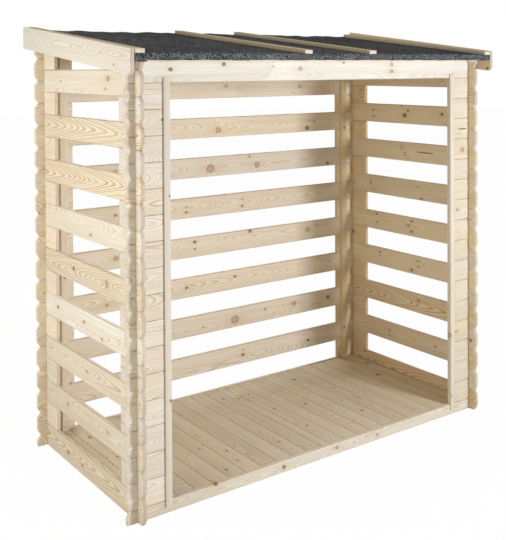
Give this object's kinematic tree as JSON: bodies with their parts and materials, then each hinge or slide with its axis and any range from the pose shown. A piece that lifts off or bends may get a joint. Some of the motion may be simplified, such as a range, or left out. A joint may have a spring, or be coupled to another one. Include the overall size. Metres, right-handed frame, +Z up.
{
  "type": "log store",
  "caption": "Open-fronted timber log store built from interlocking logs, with slatted sides and back, a boarded floor and a felted roof that falls to the front.",
  "frame": {"origin": "centre of the footprint, on the ground", "axes": "+Z up, the open front faces -Y, +X runs to the right as seen from the front"},
  "size_m": [2.286, 1.1883, 2.1757],
  "materials": {
    "log_wood": "planed, untreated",
    "trim_wood": "planed, untreated",
    "floor_wood": "planed, untreated",
    "roof_wood": "planed, untreated",
    "roof_felt": "mineral granules"
  },
  "bodies": {
    "root": {"front_base_log": "log_wood", "front_left_logs_even": "log_wood", "front_left_logs_odd": "log_wood", "front_right_logs_even": "log_wood", "front_right_logs_odd": "log_wood", "front_lintel_log": "log_wood", "back_base_log": "log_wood", "back_wall_slats": "log_wood", "back_left_blocks": "log_wood", "back_right_blocks": "log_wood", "back_top_log": "log_wood", "left_wall_slats": "log_wood", "left_front_blocks": "log_wood", "left_rear_blocks": "log_wood", "left_rear_top_block": "log_wood", "right_wall_slats": "log_wood", "right_front_blocks": "log_wood", "right_rear_blocks": "log_wood", "right_rear_top_block": "log_wood", "left_jamb_trim": "trim_wood", "right_jamb_trim": "trim_wood", "back_left_tie_batten": "trim_wood", "back_right_tie_batten": "trim_wood", "left_bargeboard": "trim_wood", "right_bargeboard": "trim_wood", "eave_batten": "trim_wood", "left_edge_batten": "trim_wood", "left_seam_batten": "trim_wood", "right_seam_batten": "trim_wood", "right_edge_batten": "trim_wood", "floor_boards_even": "floor_wood", "floor_boards_odd": "floor_wood", "floor_bearers": "floor_wood", "roof_boards_even": "roof_wood", "roof_boards_odd": "roof_wood", "roof_felt": "roof_felt"}
  },
  "joints": []
}
